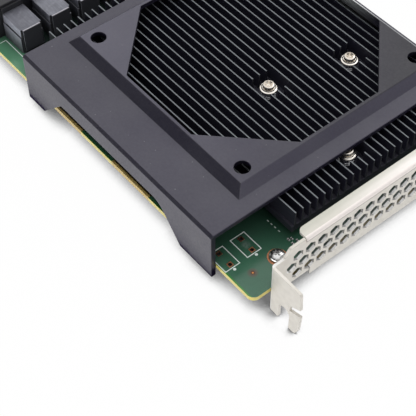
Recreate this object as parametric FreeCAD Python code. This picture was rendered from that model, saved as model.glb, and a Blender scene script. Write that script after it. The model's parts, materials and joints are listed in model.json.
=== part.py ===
import FreeCAD, Part
import math
import os

from FreeCAD import Vector

# Host bus adapter: a full-height add-in card with a finned heat sink under a moulded fan shroud.
# Sizes are in millimetres. The pieces are drawn in board coordinates: X = 0 at the board's bracket end
# and growing out through the bracket, Y = 0 just inside the board's top edge and growing towards the
# edge connector, Z = 0 on the component face. save() then moves the origin to the edge connector's key.

# Board
BOARD_T = 1.57
BOARD_LENGTH = 145.5
BOARD_TOP_Y = -0.25
BOARD_LOW_Y = BOARD_TOP_Y + 102.9
BOARD_CORNER_R = 2.4
TONGUE_REACH = 8.25
TONGUE_END = BOARD_LOW_Y + TONGUE_REACH
BEVEL_LENGTH = 1.3
BEVEL_DEPTH = 0.45
KEY_WIDTH = 1.9
KEY_DEPTH = 7.65
CONTACT_PITCH = 1.0
CONTACTS_BEFORE_KEY = 11
CONTACTS_AFTER_KEY = 38
CONTACT_MARGIN = 0.825
CONTACT_WIDTH = 0.7
CONTACT_LENGTH = 4.3
PLATING_T = 0.05

# Bracket: one folded sheet
SHEET_T = 0.9
BEND_IN_R = 0.4
BEND_OUT_R = SHEET_T + BEND_IN_R
FACE_OUT_X = 1.45
FACE_IN_X = FACE_OUT_X - SHEET_T
KEY_FROM_FACE = 57.15
TAB_Y = 5.42
TAB_END_X = 13.1
TAB_TOP_Z = 12.0
TAB_LOW_Z = -8.7
NOTCH_X = 7.05
NOTCH_WIDTH = 4.42
NOTCH_TOP_Z = -0.9
SHOULDER_Z = 15.0
LIP_TOP_Z = 14.6
LIP_REAR_X = -2.95
LIP_Y0 = 18.3
LIP_Y1 = 112.0
FACE_LOW_Z = -3.6
FACE_END_Y = TAB_Y + 120.02
LUG_REAR_X = -11.5
LUG_WIDTH = 9.4
LUG_RELIEF = 0.3
VENT_PITCH = 4.67
VENT_FLATS = 3.6
VENT_ROWS_Z = (1.55, 5.6, 9.65)
VENT_Y0 = 12.85
VENT_END_Y = 112.0

# Bracket screws and empty two-pin places on the board
BRACKET_SCREW_X = -7.1
BRACKET_SCREW_YS = (15.25, 95.0)
M3_R = 1.45
M3_HOLE_R = 1.6
M3_THREAD_R = 1.5
PAN_HEAD_R = 2.5
PAN_HEAD_H = 1.9
SCREW_RING_R = 3.05
TWO_PIN_X = -16.3
TWO_PIN_YS = (11.24, 2.85)
TWO_PIN_PITCH = 5.08
TWO_PIN_HOLE_R = 0.6
TWO_PIN_PAD = 1.7
TEST_PAD = (-7.28, 6.02, 0.6)
STRIP_SPANS = ((-98.3, -84.3), (-67.8, -48.8))
STRIP_WIDTH = 3.2

# Heat sink: one extrusion along X
SINK_REAR_X = -118.0
SINK_FRONT_X = -9.2
SINK_Y0 = 11.6
SINK_Y1 = 95.8
BASE_LOW_Z = 3.6
BASE_TOP_Z = 6.0
FIN_TOP_Z = 11.7
FIN_COUNT = 30
FIN_Y0 = 12.25
FIN_PITCH = 2.86
FIN_ROOT_T = 0.85
FIN_TIP_T = 0.42
RELIEF_X = -23.0
RELIEF_Y = 22.5
POCKET_LENGTH = 8.7
POCKET_FINS = 3

# Spring screws: each stands on the line of a fin that is cut away round it
SPRING_SCREWS = ((-53.95, 14), (-17.9, 14), (-46.9, 24), (-24.95, 24), (-98.4, 4), (-98.4, 26))
BACKPLATE_SCREWS = 4
SPRING_SCREW_R = 1.2
SPRING_SCREW_HOLE_R = 1.5
SPRING_THREAD_R = 1.25
FLANGE_R = 2.85
FLANGE_LOW_Z = 8.9
FLANGE_TOP_Z = 9.45
HEAD_R = 2.0
HEAD_TOP_Z = 11.3
SCREW_END_Z = -3.6
SPRING_WIRE_R = 0.3
SPRING_R = 2.3
SPRING_TURNS = 2.5
SPRING_RUNS_PER_TURN = 8
SPRING_SLACK = 0.15

# Controller and its thermal path
CHIP_X = -35.28
CHIP_Y = 66.6
CHIP_SIDE = 25.0
CHIP_T = 1.5
LID_SIDE = 22.0
LID_RIM_T = 0.5
LID_TOP_SIDE = 19.0
LID_T = 1.3
PAD_T = 0.3
PEDESTAL_SIDE = 24.0
INSULATOR_T = 0.2
BACKPLATE_T = 1.2
BACKPLATE_BOSS_R = 2.6
BACKPLATE_BOSS_H = 1.0
BACKPLATE_MARGIN = 6.0
BACKPLATE_CORNER = 3.0
BACKPLATE_WINDOW = 15.0
NUT_FLATS = 4.6
NUT_H = 1.5

# Shroud: one moulding that carries an 80 mm fan
SHROUD_REAR_X = -112.03
SHROUD_FRONT_X = -16.31
WALL_OUT_Y = -2.03
WALL_T = 1.55
EDGE_CHAMFER = 0.9
SHROUD_TOP_Z = 14.2
SHROUD_T = 1.6
FAR_WALL_OUT_Y = 98.45
FAR_WALL_T = 1.2
LEG_LOW_Z = -4.7
LEG_GAP_REAR_X = -103.3
LEG_GAP_REAR_TOP_X = -91.5
LEG_GAP_FRONT_TOP_X = -41.0
LEG_GAP_FRONT_X = -31.2
LEG_GAP_TOP_Z = 7.0
LEG_GAP_REAR_R = 1.5
LEG_GAP_FRONT_R = 7.0
FAN_X = -64.6
FAN_Y = 55.75
FAN_SIDE = 80.0
FAN_HOLE_PITCH = 71.5
FAN_HOLE_R = 2.6
OCTAGON_FLATS = 78.2
PLATFORM_TOP_Z = 17.02
PLATFORM_SLOPE = 2.95
PLATFORM_FAR_SLOPE = 0.6
PLATFORM_FAR_R = 1.05
PLATFORM_EDGE_R = 0.5
SEAT_INSET = 0.65
SEAT_FAR_INSET = 1.0
SHROUD_END_R = 0.35
BARB_REACH = 1.4
BARB_SPANS = ((-110.5, -104.5), (-28.0, -19.0))
EAR_XS = (-105.0, -24.0)
EAR_WIDTH = 7.0
EAR_H = 5.0
EAR_SCREW_Y = 100.0
EAR_PILOT_R = 1.15
EAR_SCREW_R = 1.1
EAR_HOLE_R = 1.4
EAR_HEAD_R = 2.2
EAR_HEAD_H = 1.4

# Rear cable connectors and the frame that they stand against
PORT_COUNT = 8
PORT_PITCH = 11.7
PORT_Y0 = 9.92
PORT_REAR_X = -137.5
PORT_FRONT_X = -125.4
PORT_FACE_T = 0.6
PORT_FACE_TOP_Z = 12.0
SHELL_WIDTH = 8.2
SHELL_TOP_Z = 10.0
SHELL_T = 0.3
SHELL_SLOT_Z = (6.4, 6.9)
SHELL_SLOT_END = 2.0
SHELL_SKIRT = 0.3
SHELL_FOLD_R = 0.4
SHELL_FOLD_LOW_Z = 0.8
SHELL_RELIEF = 0.7
SLOT_WIDTH = 6.6
SLOT_H = 1.3
SLOT_DEPTH = 7.0
SLOT_ZS = (3.4, 7.4)
PORT_CONTACTS = 7
PORT_CONTACT_PITCH = 0.8
PORT_CONTACT_WIDTH = 0.4
PORT_CONTACT_T = 0.25
FRAME_OUT_X = -146.5
FRAME_TOP_Z = 13.1
FRAME_Y0 = 1.9
FRAME_Y1 = 101.0
CAVITY_WIDTH = 7.4
CAVITY_LOW_Z = 1.4
CAVITY_TOP_Z = 10.4
LATCH_WIDTH = 3.4
LATCH_H = 1.3

# The model's origin: key of the edge connector, on the tongue's end, mid-board
KEY_X = FACE_OUT_X - KEY_FROM_FACE
ORIGIN = Vector(KEY_X, TONGUE_END, -BOARD_T / 2)


def plan(z):
    """Places (x, y) on a level plane."""
    return lambda u, v: Vector(u, v, z)


def side(y):
    """Places (x, z) on a plane across Y."""
    return lambda u, v: Vector(u, y, v)


def end(x):
    """Places (y, z) on a plane across X."""
    return lambda u, v: Vector(x, u, v)


def rounded_face(corners, to_space):
    """Flat face from corners (u, v, radius), each rounded by a tangent arc."""
    arcs = []
    for i, (u, v, radius) in enumerate(corners):
        here = Vector(u, v, 0)
        back = (Vector(*corners[i - 1][:2], 0) - here).normalize()
        ahead = (Vector(*corners[(i + 1) % len(corners)][:2], 0) - here).normalize()
        half = back.getAngle(ahead) / 2
        centre = here + (back + ahead).normalize() * (radius / math.sin(half)) if radius else here
        first = here + back * (radius / math.tan(half))
        last = here + ahead * (radius / math.tan(half))
        middle = centre + (here - centre).normalize() * radius if radius else here
        arcs.append([to_space(p.x, p.y) for p in (first, middle, last)])
    edges = []
    for i, (first, middle, last) in enumerate(arcs):
        if not first.isEqual(last, 1e-7):
            edges.append(Part.Arc(first, middle, last).toShape())
        following = arcs[(i + 1) % len(arcs)][0]
        if not last.isEqual(following, 1e-7):
            edges.append(Part.LineSegment(last, following).toShape())
    return Part.Face(Part.Wire(edges))


def sharp(points):
    """Corners with no rounding."""
    return [(u, v, 0) for u, v in points]


def rectangle(u0, u1, v0, v1, radius=0):
    return [(u0, v0, radius), (u1, v0, radius), (u1, v1, radius), (u0, v1, radius)]


def centred(u, v, width, height, radius=0):
    return rectangle(u - width / 2, u + width / 2, v - height / 2, v + height / 2, radius)


def slab(corners, z0, z1):
    """Upright prism over a plan outline."""
    return rounded_face(corners, plan(z0)).extrude(Vector(0, 0, z1 - z0))


def along_x(corners, x0, x1):
    """Prism of a (y, z) outline along X."""
    return rounded_face(corners, end(x0)).extrude(Vector(x1 - x0, 0, 0))


def along_y(corners, y0, y1):
    """Prism of an (x, z) outline along Y."""
    return rounded_face(corners, side(y0)).extrude(Vector(0, y1 - y0, 0))


def post(x, y, radius, z0, z1):
    return Part.makeCylinder(radius, z1 - z0, Vector(x, y, z0))


def turned(x, y, profile):
    """Solid of revolution about an upright axis from (radius, z) points that close on the axis."""
    face = rounded_face(sharp(profile), side(0))
    solid = face.revolve(Vector(0, 0, 0), Vector(0, 0, 1), 360)
    return solid.translated(Vector(x, y, 0))


def joined(shapes):
    """One solid from touching or overlapping shapes."""
    return shapes[0].multiFuse(shapes[1:]).removeSplitter()


def save(name, *shapes):
    """Writes one node: a single solid, or a group of separate solids."""
    shape = shapes[0] if len(shapes) == 1 else Part.makeCompound(list(shapes))
    shape.translated(-ORIGIN).exportStep(f"parts/{name}.step")


def fin_y(index):
    return FIN_Y0 + index * FIN_PITCH


def screw_spots():
    return [(x, fin_y(fin)) for x, fin in SPRING_SCREWS]


def two_pin_spots():
    return [(TWO_PIN_X + s * TWO_PIN_PITCH / 2, y) for y in TWO_PIN_YS for s in (-1, 1)]


def tongue_spans():
    """The two stretches of the edge connector, each as (x nearest the bracket, contact count)."""
    before = KEY_X + KEY_WIDTH / 2 + stretch(CONTACTS_BEFORE_KEY)
    return [(before, CONTACTS_BEFORE_KEY), (KEY_X - KEY_WIDTH / 2, CONTACTS_AFTER_KEY)]


def stretch(count):
    """Length of tongue that carries a number of contacts."""
    return (count - 1) * CONTACT_PITCH + 2 * CONTACT_MARGIN


def board():
    (first_x, _), (second_x, count) = tongue_spans()
    key_x = KEY_X + KEY_WIDTH / 2
    far_x = second_x - stretch(count)
    key_r = KEY_WIDTH / 2 - 0.001
    outline = [(0, BOARD_TOP_Y, BOARD_CORNER_R), (0, BOARD_LOW_Y, BOARD_CORNER_R)]
    outline += [(first_x, BOARD_LOW_Y, 1), (first_x, TONGUE_END, 0), (key_x, TONGUE_END, 0)]
    outline += [(key_x, TONGUE_END - KEY_DEPTH, key_r), (second_x, TONGUE_END - KEY_DEPTH, key_r)]
    outline += [(second_x, TONGUE_END, 0), (far_x, TONGUE_END, 0), (far_x, BOARD_LOW_Y, 1)]
    outline += [(-BOARD_LENGTH, BOARD_LOW_Y, BOARD_CORNER_R), (-BOARD_LENGTH, BOARD_TOP_Y, BOARD_CORNER_R)]
    body = slab(outline, -BOARD_T, 0)
    start = TONGUE_END - BEVEL_LENGTH
    upper = sharp([(start, 0), (TONGUE_END, 0), (TONGUE_END, -BEVEL_DEPTH)])
    lower = sharp([(start, -BOARD_T), (TONGUE_END, -BOARD_T), (TONGUE_END, -BOARD_T + BEVEL_DEPTH)])
    cuts = [along_x(wedge, far_x, first_x) for wedge in (upper, lower)]
    holes = [(BRACKET_SCREW_X, y, M3_HOLE_R) for y in BRACKET_SCREW_YS]
    holes += [(x, y, SPRING_SCREW_HOLE_R) for x, y in screw_spots()]
    holes += [(x, y, TWO_PIN_HOLE_R) for x, y in two_pin_spots()]
    holes += [(x, EAR_SCREW_Y, EAR_HOLE_R) for x in EAR_XS]
    cuts += [post(x, y, r, -BOARD_T, 0) for x, y, r in holes]
    return body.cut(cuts)


def edge_contacts():
    """Gold contacts on both faces of the tongue."""
    pads = []
    y1 = TONGUE_END - BEVEL_LENGTH - 0.3
    for x0, count in tongue_spans():
        for i in range(count):
            x = x0 - CONTACT_MARGIN - i * CONTACT_PITCH
            outline = centred(x, y1 - CONTACT_LENGTH / 2, CONTACT_WIDTH, CONTACT_LENGTH)
            pads.append(slab(outline, 0, PLATING_T))
            pads.append(slab(outline, -BOARD_T - PLATING_T, -BOARD_T))
    return pads


def edge_strips():
    low_y = BOARD_TOP_Y + STRIP_WIDTH
    return [slab(rectangle(x0, x1, BOARD_TOP_Y, low_y), 0, PLATING_T) for x0, x1 in STRIP_SPANS]


def plated_pads():
    """Square pads of the empty two-pin places, rings round the bracket screws and a test pad."""
    pads = []
    for x, y in two_pin_spots():
        square = slab(centred(x, y, TWO_PIN_PAD, TWO_PIN_PAD), 0, PLATING_T)
        pads.append(square.cut(post(x, y, TWO_PIN_HOLE_R, 0, PLATING_T)))
    for y in BRACKET_SCREW_YS:
        ring = post(BRACKET_SCREW_X, y, SCREW_RING_R, 0, PLATING_T)
        pads.append(ring.cut(post(BRACKET_SCREW_X, y, PAN_HEAD_R + 0.05, 0, PLATING_T)))
    x, y, r = TEST_PAD
    pads.append(post(x, y, r, 0, PLATING_T))
    return pads


def bent(inner, corner, outer):
    """L-shaped (u, v) outline of a bent sheet, from the ends of its outer side and its outer corner."""
    (iu, iv), (cu, cv), (ou, ov) = inner, corner, outer
    su = math.copysign(SHEET_T, ou - cu)
    sv = math.copysign(SHEET_T, iv - cv)
    return [(iu, iv, 0), (cu, cv, BEND_OUT_R), (ou, ov, 0), (ou, ov + sv, 0), (cu + su, cv + sv, BEND_IN_R),
            (iu + su, iv, 0)]


def bracket_tab():
    """Screw tab, bent outwards, with its screw notch and the slanted notch in its end."""
    sheet = bent((FACE_IN_X, TAB_Y + 3), (FACE_IN_X, TAB_Y), (TAB_END_X + 1, TAB_Y))
    low = TAB_LOW_Z
    near_x, far_x = NOTCH_X - NOTCH_WIDTH / 2, NOTCH_X + NOTCH_WIDTH / 2
    notch_r = NOTCH_WIDTH / 2 - 0.1
    outline = [(0, TAB_TOP_Z, 0), (TAB_END_X, TAB_TOP_Z - 0.4, 0.8), (TAB_END_X + 0.4, 4.6, 0)]
    outline += [(9.5, 2.5, 0), (9.3, 0.0, 0), (TAB_END_X + 0.6, 1.5, 0)]
    outline += [(TAB_END_X, -6.0, 1.5), (11.8, low, 1.5), (far_x, low, 0), (far_x, NOTCH_TOP_Z, notch_r)]
    outline += [(near_x, NOTCH_TOP_Z, notch_r), (near_x, low + 0.6, 0.6), (0, low + 1.0, 0)]
    keep = along_y(outline, TAB_Y - 1, TAB_Y + 4)
    return slab(sheet, -10, TAB_TOP_Z + 1).common(keep)


def bracket_face():
    """Flat of the bracket with its stepped shoulder, lug reliefs and tapered lower end."""
    top = LIP_TOP_Z - BEND_OUT_R
    lug_z = 0.0
    near, far = [(y - LUG_WIDTH / 2 - LUG_RELIEF, y + LUG_WIDTH / 2 + LUG_RELIEF) for y in BRACKET_SCREW_YS]
    taper = FACE_END_Y - 11
    tongue = FACE_END_Y - 8
    outline = [(TAB_Y + 3, -2.5, 0), (TAB_Y + 3, TAB_TOP_Z, 0), (10.0, TAB_TOP_Z, 1)]
    outline += [(12.2, SHOULDER_Z, 0.8), (LIP_Y0 - 0.6, SHOULDER_Z, 0), (LIP_Y0 - 0.6, top, 0)]
    outline += [(LIP_Y1 + 0.6, top, 0), (LIP_Y1 + 0.6, LIP_TOP_Z - 0.4, 0.6), (taper, LIP_TOP_Z - 0.4, 1)]
    outline += [(tongue, 10.3, 1), (FACE_END_Y, 10.3, 1.5), (FACE_END_Y, 0.5, 1.5), (tongue, 0.5, 1)]
    outline += [(taper, FACE_LOW_Z, 1), (far[1], FACE_LOW_Z, 0), (far[1], lug_z, 0)]
    outline += [(far[0], lug_z, 0), (far[0], FACE_LOW_Z, 0), (near[1], FACE_LOW_Z, 0)]
    outline += [(near[1], lug_z, 0), (near[0], lug_z, 0), (near[0], -2.5, 0)]
    return along_x(outline, FACE_IN_X, FACE_OUT_X)


def bracket_lugs():
    """Lugs bent under the board, each with a threaded hole."""
    low = -BOARD_T - SHEET_T
    profile = bent((FACE_OUT_X, 1), (FACE_OUT_X, low), (LUG_REAR_X, low))
    lugs = []
    for y in BRACKET_SCREW_YS:
        lug = along_y(profile, y - LUG_WIDTH / 2, y + LUG_WIDTH / 2)
        ends = rectangle(LUG_REAR_X, FACE_OUT_X, y - LUG_WIDTH / 2, y + LUG_WIDTH / 2)
        ends[0] = ends[0][:2] + (2.5,)
        ends[3] = ends[3][:2] + (2.5,)
        lug = lug.common(slab(ends, low - 1, 2))
        lugs.append(lug.cut(post(BRACKET_SCREW_X, y, M3_THREAD_R, low, 0)))
    return lugs


def bracket_lip():
    """Lip along the top of the face, bent towards the card, with rounded ends."""
    profile = bent((FACE_OUT_X, 11), (FACE_OUT_X, LIP_TOP_Z), (LIP_REAR_X, LIP_TOP_Z))
    ends = rectangle(LIP_REAR_X, FACE_OUT_X, LIP_Y0, LIP_Y1)
    ends[0] = ends[0][:2] + (1.8,)
    ends[3] = ends[3][:2] + (1.8,)
    return along_y(profile, LIP_Y0, LIP_Y1).common(slab(ends, 10, LIP_TOP_Z + 1))


def hexagon_corners(flats):
    """Corners of a hexagon about the origin, with two of them on the second axis."""
    reach = flats / math.sqrt(3)
    return [(reach * math.sin(k * math.pi / 3), reach * math.cos(k * math.pi / 3)) for k in range(6)]


def vents():
    """Staggered rows of hexagonal vents."""
    shape = hexagon_corners(VENT_FLATS)
    cutters = []
    for row, z in enumerate(VENT_ROWS_Z):
        y = VENT_Y0 if row == 1 else VENT_Y0 + VENT_PITCH / 2
        while y < VENT_END_Y:
            hexagon = sharp([(y + u, z + v) for u, v in shape])
            cutters.append(along_x(hexagon, FACE_IN_X, FACE_OUT_X))
            y += VENT_PITCH
    return cutters


def bracket():
    sheet = joined([bracket_face(), bracket_tab(), bracket_lip()] + bracket_lugs())
    return sheet.cut(vents())


def bracket_screws():
    screws = []
    for y in BRACKET_SCREW_YS:
        tip = -BOARD_T - SHEET_T - 0.4
        profile = [(0, tip), (M3_R, tip), (M3_R, 0), (PAN_HEAD_R, 0), (PAN_HEAD_R, PAN_HEAD_H * 0.5),
                   (PAN_HEAD_R * 0.66, PAN_HEAD_H), (0, PAN_HEAD_H)]
        screws.append(turned(BRACKET_SCREW_X, y, profile))
    return screws


def heat_sink():
    """Extruded comb of fins, with the corner relief, screw pockets, screw holes and pedestal."""
    comb = [(SINK_Y0, BASE_LOW_Z), (SINK_Y1, BASE_LOW_Z), (SINK_Y1, BASE_TOP_Z)]
    for i in reversed(range(FIN_COUNT)):
        y = fin_y(i)
        comb += [(y + FIN_ROOT_T / 2, BASE_TOP_Z), (y + FIN_TIP_T / 2, FIN_TOP_Z)]
        comb += [(y - FIN_TIP_T / 2, FIN_TOP_Z), (y - FIN_ROOT_T / 2, BASE_TOP_Z)]
    comb.append((SINK_Y0, BASE_TOP_Z))
    body = along_x(sharp(comb), SINK_REAR_X, SINK_FRONT_X)
    cuts = [slab(rectangle(RELIEF_X, 0, 0, RELIEF_Y), BASE_LOW_Z, FIN_TOP_Z)]
    for x, y in screw_spots():
        cuts.append(slab(centred(x, y, POCKET_LENGTH, POCKET_FINS * FIN_PITCH), BASE_TOP_Z, FIN_TOP_Z))
        cuts.append(post(x, y, SPRING_SCREW_HOLE_R, BASE_LOW_Z, BASE_TOP_Z))
    body = body.cut(cuts)
    pad_top = CHIP_T + LID_T + PAD_T
    pedestal = slab(centred(CHIP_X, CHIP_Y, PEDESTAL_SIDE, PEDESTAL_SIDE), pad_top, BASE_LOW_Z)
    return joined([body, pedestal])


def spring_screws():
    screws = []
    for x, y in screw_spots():
        profile = [(0, SCREW_END_Z), (SPRING_SCREW_R, SCREW_END_Z), (SPRING_SCREW_R, FLANGE_LOW_Z),
                   (FLANGE_R, FLANGE_LOW_Z), (FLANGE_R, FLANGE_TOP_Z), (HEAD_R, FLANGE_TOP_Z),
                   (HEAD_R, HEAD_TOP_Z), (0, HEAD_TOP_Z)]
        screws.append(turned(x, y, profile))
    return screws


def springs():
    """Coil springs between the heat sink's base and the flanges, each wound in short straight runs."""
    rise = FLANGE_LOW_Z - BASE_TOP_Z - 2 * SPRING_WIRE_R - SPRING_SLACK
    runs = int(SPRING_TURNS * SPRING_RUNS_PER_TURN)
    path = []
    for i in range(runs + 1):
        turn = 2 * math.pi * i / SPRING_RUNS_PER_TURN
        path.append(Vector(SPRING_R * math.cos(turn), SPRING_R * math.sin(turn), rise * i / runs))
    section = rounded_face(centred(SPRING_R, 0, 2 * SPRING_WIRE_R, 2 * SPRING_WIRE_R), side(0)).OuterWire
    coil = Part.makePolygon(path).makePipeShell([section], True, False, 1)
    return [coil.translated(Vector(x, y, BASE_TOP_Z + SPRING_WIRE_R)) for x, y in screw_spots()]


def controller():
    """Package, stepped lid and thermal pad, bottom to top."""
    package = slab(centred(CHIP_X, CHIP_Y, CHIP_SIDE, CHIP_SIDE), 0, CHIP_T)
    rim = slab(centred(CHIP_X, CHIP_Y, LID_SIDE, LID_SIDE), CHIP_T, CHIP_T + LID_RIM_T)
    crown = slab(centred(CHIP_X, CHIP_Y, LID_TOP_SIDE, LID_TOP_SIDE), CHIP_T + LID_RIM_T, CHIP_T + LID_T)
    top = CHIP_T + LID_T
    pad = slab(centred(CHIP_X, CHIP_Y, LID_TOP_SIDE, LID_TOP_SIDE), top, top + PAD_T)
    return package, joined([rim, crown]), pad


def backplate():
    """Steel stiffener with threaded bosses, and the insulating film between it and the board."""
    spots = screw_spots()[:BACKPLATE_SCREWS]
    xs = [x for x, _ in spots]
    ys = [y for _, y in spots]
    x0, x1 = min(xs) - BACKPLATE_MARGIN, max(xs) + BACKPLATE_MARGIN
    y0, y1 = min(ys) - BACKPLATE_MARGIN, max(ys) + BACKPLATE_MARGIN
    cut = BACKPLATE_CORNER
    outline = sharp([(x0 + cut, y0), (x1 - cut, y0), (x1, y0 + cut), (x1, y1 - cut), (x1 - cut, y1),
                     (x0 + cut, y1), (x0, y1 - cut), (x0, y0 + cut)])
    film_z = -BOARD_T - INSULATOR_T
    plate_z = film_z - BACKPLATE_T
    boss_z = plate_z - BACKPLATE_BOSS_H
    window = slab(centred(CHIP_X, CHIP_Y, BACKPLATE_WINDOW, BACKPLATE_WINDOW), plate_z, -BOARD_T)
    film_holes = [post(x, y, SPRING_SCREW_HOLE_R, film_z, 0) for x, y in spots]
    film = slab(outline, film_z, -BOARD_T).cut([window] + film_holes)
    bosses = [post(x, y, BACKPLATE_BOSS_R, boss_z, plate_z) for x, y in spots]
    plate = joined([slab(outline, plate_z, film_z)] + bosses)
    plate = plate.cut([window] + [post(x, y, SPRING_THREAD_R, boss_z, film_z) for x, y in spots])
    return plate, film


def press_nuts():
    """Nuts under the board for the screws that the backplate doesn't reach."""
    low = -BOARD_T - NUT_H
    nuts = []
    for x, y in screw_spots()[BACKPLATE_SCREWS:]:
        hexagon = [(x + u, y + v) for u, v in hexagon_corners(NUT_FLATS)]
        nut = slab(sharp(hexagon), low, -BOARD_T)
        nuts.append(nut.cut(post(x, y, SPRING_THREAD_R, low, -BOARD_T)))
    return nuts


def frustum(low, low_z, high, high_z):
    """Solid between two level rectangles, each (x0, x1, y0, y1)."""
    wires = [rounded_face(rectangle(*r), plan(z)).OuterWire for r, z in ((low, low_z), (high, high_z))]
    return Part.makeLoft(wires, True)


def platform():
    """Raised fan seat with rounded edges, most of all the far one, and the space under it."""
    half = FAN_SIDE / 2
    top = (FAN_X - half, FAN_X + half, FAN_Y - half, FAN_Y + half)
    grow = (-PLATFORM_SLOPE, PLATFORM_SLOPE, -PLATFORM_SLOPE, PLATFORM_FAR_SLOPE)
    foot = tuple(a + b for a, b in zip(top, grow))
    seat = frustum(foot, SHROUD_TOP_Z, top, PLATFORM_TOP_Z)
    rims = [e for e in seat.Edges if max(v.Z for v in e.Vertexes) > SHROUD_TOP_Z + 0.1
            and min(v.Y for v in e.Vertexes) < top[3] - 0.1]
    seat = seat.makeFillet(PLATFORM_EDGE_R, rims)
    near_y = foot[2] - 1
    crest = [(near_y, SHROUD_TOP_Z, 0), (near_y, PLATFORM_TOP_Z, 0), (top[3], PLATFORM_TOP_Z, PLATFORM_FAR_R),
             (foot[3], SHROUD_TOP_Z, 0)]
    seat = seat.common(along_x(crest, foot[0], foot[1]))
    inset = (SEAT_INSET, -SEAT_INSET, SEAT_INSET, -SEAT_FAR_INSET)
    under_top = tuple(a + b for a, b in zip(top, inset))
    spread = (-PLATFORM_SLOPE, PLATFORM_SLOPE, -PLATFORM_SLOPE, SEAT_FAR_INSET)
    under_foot = tuple(a + b for a, b in zip(under_top, spread))
    space = frustum(under_foot, SHROUD_TOP_Z - SHROUD_T, under_top, PLATFORM_TOP_Z - SHROUD_T)
    return seat, space


def fan_cuts():
    """Eight-sided opening and the four fan holes."""
    across = OCTAGON_FLATS / 2
    corner = across / math.cos(math.pi / 8)
    turns = [math.pi / 8 + k * math.pi / 4 for k in range(8)]
    octagon = [(FAN_X + corner * math.cos(a), FAN_Y + corner * math.sin(a), 0) for a in turns]
    cuts = [slab(octagon, SHROUD_TOP_Z - 3, PLATFORM_TOP_Z)]
    step = FAN_HOLE_PITCH / 2
    for sx in (-1, 1):
        for sy in (-1, 1):
            cuts.append(post(FAN_X + sx * step, FAN_Y + sy * step, FAN_HOLE_R, SHROUD_TOP_Z, PLATFORM_TOP_Z))
    return cuts


def shroud_channel():
    """Top and both side walls as one profile along the card."""
    inner_y = WALL_OUT_Y + WALL_T
    under_z = SHROUD_TOP_Z - SHROUD_T
    far_in_y = FAR_WALL_OUT_Y - FAR_WALL_T
    profile = sharp([(WALL_OUT_Y, LEG_LOW_Z), (WALL_OUT_Y, SHROUD_TOP_Z - EDGE_CHAMFER),
                     (WALL_OUT_Y + EDGE_CHAMFER, SHROUD_TOP_Z), (FAR_WALL_OUT_Y, SHROUD_TOP_Z),
                     (FAR_WALL_OUT_Y, 0), (far_in_y, 0), (far_in_y, under_z), (inner_y, under_z),
                     (inner_y, LEG_LOW_Z)])
    channel = along_x(profile, SHROUD_REAR_X, SHROUD_FRONT_X)
    ends = [e for e in channel.Edges if all(abs(v.Z - SHROUD_TOP_Z) < 1e-6 for v in e.Vertexes)
            and e.Vertexes[0].X == e.Vertexes[1].X]
    return channel.makeFillet(SHROUD_END_R, ends)


def leg_gap():
    """Air gap under the near wall, between its two legs."""
    below = LEG_LOW_Z - 1
    lead = (LEG_GAP_TOP_Z - below) / (LEG_GAP_TOP_Z - LEG_LOW_Z)
    rear_x = LEG_GAP_REAR_TOP_X + (LEG_GAP_REAR_X - LEG_GAP_REAR_TOP_X) * lead
    front_x = LEG_GAP_FRONT_TOP_X + (LEG_GAP_FRONT_X - LEG_GAP_FRONT_TOP_X) * lead
    outline = [(rear_x, below, 0), (LEG_GAP_REAR_TOP_X, LEG_GAP_TOP_Z, LEG_GAP_REAR_R),
               (LEG_GAP_FRONT_TOP_X, LEG_GAP_TOP_Z, LEG_GAP_FRONT_R), (front_x, below, 0)]
    return along_y(outline, WALL_OUT_Y, WALL_OUT_Y + WALL_T)


def shroud_holds():
    """Barbs that catch under the board's top edge, and ears for the far-side screws."""
    inner_y = WALL_OUT_Y + WALL_T
    catch_z = -BOARD_T - 0.1
    barb = sharp([(inner_y, catch_z), (inner_y + BARB_REACH, catch_z), (inner_y, catch_z - 1.9)])
    holds = [along_x(barb, x0, x1) for x0, x1 in BARB_SPANS]
    for x in EAR_XS:
        outline = [(x - EAR_WIDTH / 2, FAR_WALL_OUT_Y, 0), (x + EAR_WIDTH / 2, FAR_WALL_OUT_Y, 0),
                   (x + EAR_WIDTH / 2, BOARD_LOW_Y - 0.3, 2), (x - EAR_WIDTH / 2, BOARD_LOW_Y - 0.3, 2)]
        ear = slab(outline, 0, EAR_H)
        holds.append(ear.cut(post(x, EAR_SCREW_Y, EAR_PILOT_R, 0, EAR_H - 1)))
    return holds


def shroud():
    seat, space = platform()
    body = joined([shroud_channel().cut(leg_gap()), seat])
    return joined([body.cut([space] + fan_cuts())] + shroud_holds())


def shroud_screws():
    """Screws from the solder side into the shroud's ears."""
    screws = []
    for x in EAR_XS:
        low = -BOARD_T - EAR_HEAD_H
        profile = [(0, low), (EAR_HEAD_R, low), (EAR_HEAD_R, -BOARD_T), (EAR_SCREW_R, -BOARD_T),
                   (EAR_SCREW_R, EAR_H - 1.5), (0, EAR_H - 1.5)]
        screws.append(turned(x, EAR_SCREW_Y, profile))
    return screws


def port_y(index):
    return PORT_Y0 + index * PORT_PITCH


def port_frame():
    """Moulded frame along the rear edge, with a latched mouth for each plug."""
    outline = [(FRAME_OUT_X, 0, 0), (FRAME_OUT_X, FRAME_TOP_Z, 0.6)]
    outline += [(PORT_REAR_X, FRAME_TOP_Z, 0.4), (PORT_REAR_X, 0, 0)]
    body = along_y(outline, FRAME_Y0, FRAME_Y1)
    cuts = []
    for i in range(PORT_COUNT):
        y = port_y(i)
        half, latch = CAVITY_WIDTH / 2, LATCH_WIDTH / 2
        mouth = sharp([(y - half, CAVITY_LOW_Z), (y + half, CAVITY_LOW_Z), (y + half, CAVITY_TOP_Z),
                       (y + latch, CAVITY_TOP_Z), (y + latch, CAVITY_TOP_Z + LATCH_H),
                       (y - latch, CAVITY_TOP_Z + LATCH_H), (y - latch, CAVITY_TOP_Z),
                       (y - half, CAVITY_TOP_Z)])
        cuts.append(along_x(mouth, FRAME_OUT_X, PORT_REAR_X))
    return body.cut(cuts)


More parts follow.
